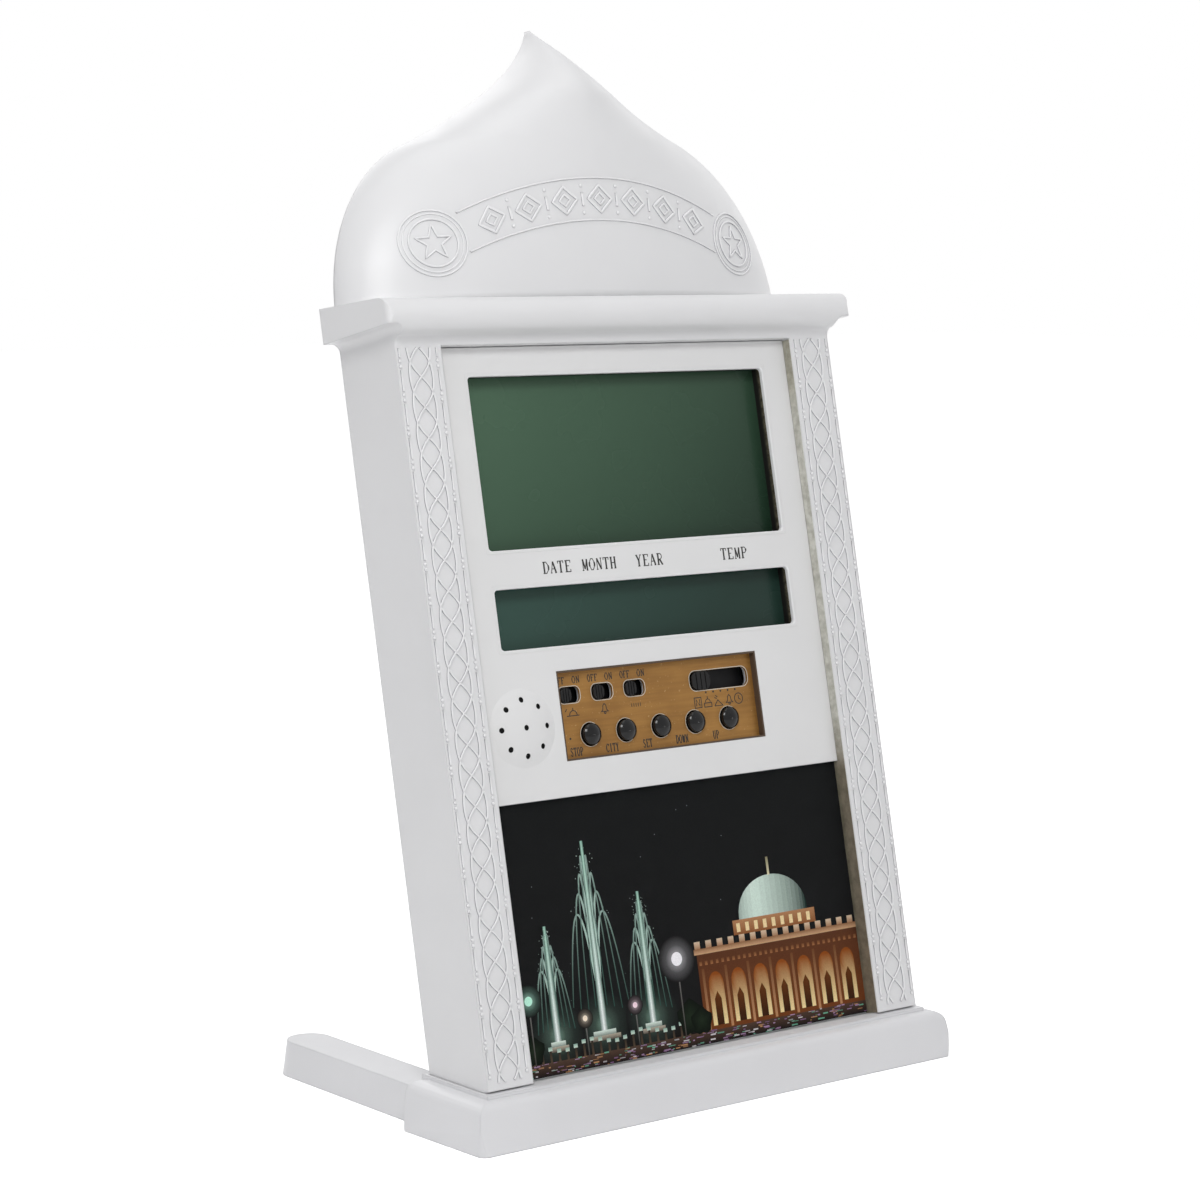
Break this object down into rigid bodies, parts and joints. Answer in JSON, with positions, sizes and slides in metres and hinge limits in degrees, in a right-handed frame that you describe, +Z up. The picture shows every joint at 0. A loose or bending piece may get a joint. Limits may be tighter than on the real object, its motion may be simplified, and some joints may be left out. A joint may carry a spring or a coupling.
{
  "type": "azan clock",
  "caption": "Mosque-shaped digital azan clock with two displays, control buttons and a picture panel, leaning on a lift-off stand.",
  "frame": {"origin": "on the table, mid width, below the foot of the case's front face", "axes": "+X to the viewer's right, +Y from the face to the back, +Z up"},
  "size_m": [0.1662, 0.1051, 0.2871],
  "materials": {
    "white": "satin moulded plastic",
    "panel": "satin printed panel",
    "steel": "zinc plated",
    "brown": "satin",
    "lcd": "polarised display glass",
    "ivory": "matte",
    "rubber": "matte",
    "board": "satin",
    "parts": "matte",
    "gold": "satin gold",
    "black": "gloss",
    "speaker": "matte",
    "card": "printed",
    "clear": "gloss clear",
    "cell": "gloss sleeve"
  },
  "bodies": {
    "stand": {"stand_plinth": "white", "stand_leg_left": "white", "stand_leg_right": "white", "stand_screws": "steel"},
    "case": {"front_case": "white", "dome_front": "white", "rear_cover": "white", "fascia_panel": "panel", "case_screws": "steel", "board_screws": "steel", "cell_springs": "steel", "cell_contacts": "steel", "main_gasket": "brown", "small_gasket": "brown", "control_gasket": "brown", "main_display": "lcd", "small_display": "lcd", "main_display_holder": "ivory", "small_display_holder": "ivory", "contact_strips": "rubber", "main_board": "board", "control_board": "board", "board_parts": "parts", "tact_switches": "parts", "switch_bodies": "parts", "mode_switch_body": "parts", "control_plate": "gold", "speaker": "speaker", "picture_card": "card", "picture_cover": "clear", "battery_cells": "cell"},
    "stop_button_body": {"stop_button": "black"},
    "city_button_body": {"city_button": "black"},
    "set_button_body": {"set_button": "black"},
    "down_button_body": {"down_button": "black"},
    "up_button_body": {"up_button": "black"},
    "left_switch_knob_body": {"left_switch_knob": "black"},
    "middle_switch_knob_body": {"middle_switch_knob": "black"},
    "right_switch_knob_body": {"right_switch_knob": "black"},
    "mode_switch_knob_body": {"mode_switch_knob": "black"},
    "battery_door_body": {"battery_door": "white"}
  },
  "joints": [
    {"name": "case_lift", "type": "slide", "parent": "stand", "child": "case", "axis": [0, 0.2045, 0.9789], "range_m": [0, 0.012]},
    {"name": "stop_button_press", "type": "slide", "parent": "case", "child": "stop_button_body", "axis": [0, 0.9789, -0.2045], "range_m": [0, 0.0006], "stiffness_N_per_m": 800, "springref_m": -0.0003},
    {"name": "city_button_press", "type": "slide", "parent": "case", "child": "city_button_body", "axis": [0, 0.9789, -0.2045], "range_m": [0, 0.0006], "stiffness_N_per_m": 800, "springref_m": -0.0003},
    {"name": "set_button_press", "type": "slide", "parent": "case", "child": "set_button_body", "axis": [0, 0.9789, -0.2045], "range_m": [0, 0.0006], "stiffness_N_per_m": 800, "springref_m": -0.0003},
    {"name": "down_button_press", "type": "slide", "parent": "case", "child": "down_button_body", "axis": [0, 0.9789, -0.2045], "range_m": [0, 0.0006], "stiffness_N_per_m": 800, "springref_m": -0.0003},
    {"name": "up_button_press", "type": "slide", "parent": "case", "child": "up_button_body", "axis": [0, 0.9789, -0.2045], "range_m": [0, 0.0006], "stiffness_N_per_m": 800, "springref_m": -0.0003},
    {"name": "left_switch_slide", "type": "slide", "parent": "case", "child": "left_switch_knob_body", "axis": [1, 0, 0], "range_m": [0, 0.0032]},
    {"name": "middle_switch_slide", "type": "slide", "parent": "case", "child": "middle_switch_knob_body", "axis": [1, 0, 0], "range_m": [0, 0.0032]},
    {"name": "right_switch_slide", "type": "slide", "parent": "case", "child": "right_switch_knob_body", "axis": [1, 0, 0], "range_m": [0, 0.0032]},
    {"name": "mode_switch_slide", "type": "slide", "parent": "case", "child": "mode_switch_knob_body", "axis": [1, 0, 0], "range_m": [0, 0.0136]},
    {"name": "battery_door_swing", "type": "hinge", "parent": "case", "child": "battery_door_body", "pos_m": [0, 0.03087, 0.02747], "axis": [1, 0, 0], "range_deg": [-60, 0]}
  ]
}
